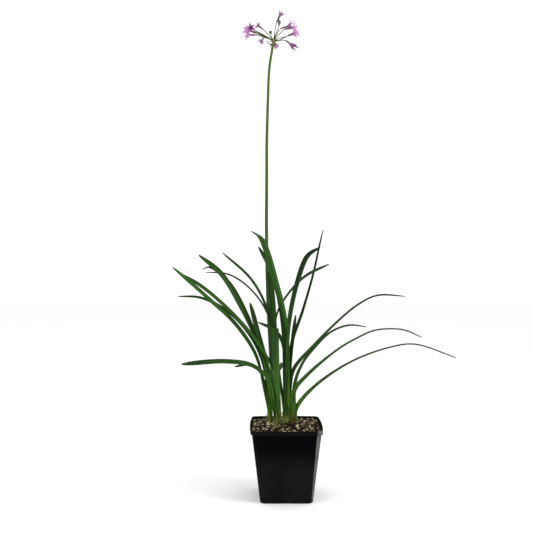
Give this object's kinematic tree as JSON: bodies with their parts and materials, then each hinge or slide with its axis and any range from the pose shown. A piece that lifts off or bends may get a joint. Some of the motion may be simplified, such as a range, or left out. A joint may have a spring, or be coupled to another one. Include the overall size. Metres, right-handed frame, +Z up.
{
  "type": "potted society garlic plant",
  "caption": "Society garlic in a square black nursery pot: arching strap leaves in tufts and one bare stalk with a head of lilac tubular flowers.",
  "frame": {"origin": "middle of the pot's underside, on the ground that it stands on", "axes": "+Z up along the pot, +X to the right as seen from the front, +Y to the back"},
  "size_m": [0.4093, 0.2482, 0.7269],
  "materials": {
    "pot_plastic": "satin",
    "grit": "matte",
    "leaf": "satin",
    "stalk": "satin",
    "dry_bract": "matte",
    "flower": "matte",
    "seed_pod": "satin"
  },
  "bodies": {
    "root": {"pot": "pot_plastic", "potting_mix": "grit", "shoot_left": "leaf", "shoot_front_left": "leaf", "shoot_middle": "leaf", "shoot_right": "leaf", "shoot_front_right": "leaf", "shoot_back": "leaf", "flower_stalk": "stalk", "spathe_bracts": "dry_bract", "flower_01": "flower", "flower_02": "flower", "flower_03": "flower", "flower_04": "flower", "flower_05": "flower", "flower_06": "flower", "flower_07": "flower", "flower_08": "flower", "flower_09": "flower", "flower_10": "flower", "flower_11": "flower", "flower_12": "flower", "flower_13": "flower", "seed_pod_young": "seed_pod", "seed_pod_ripe": "seed_pod"}
  },
  "joints": []
}
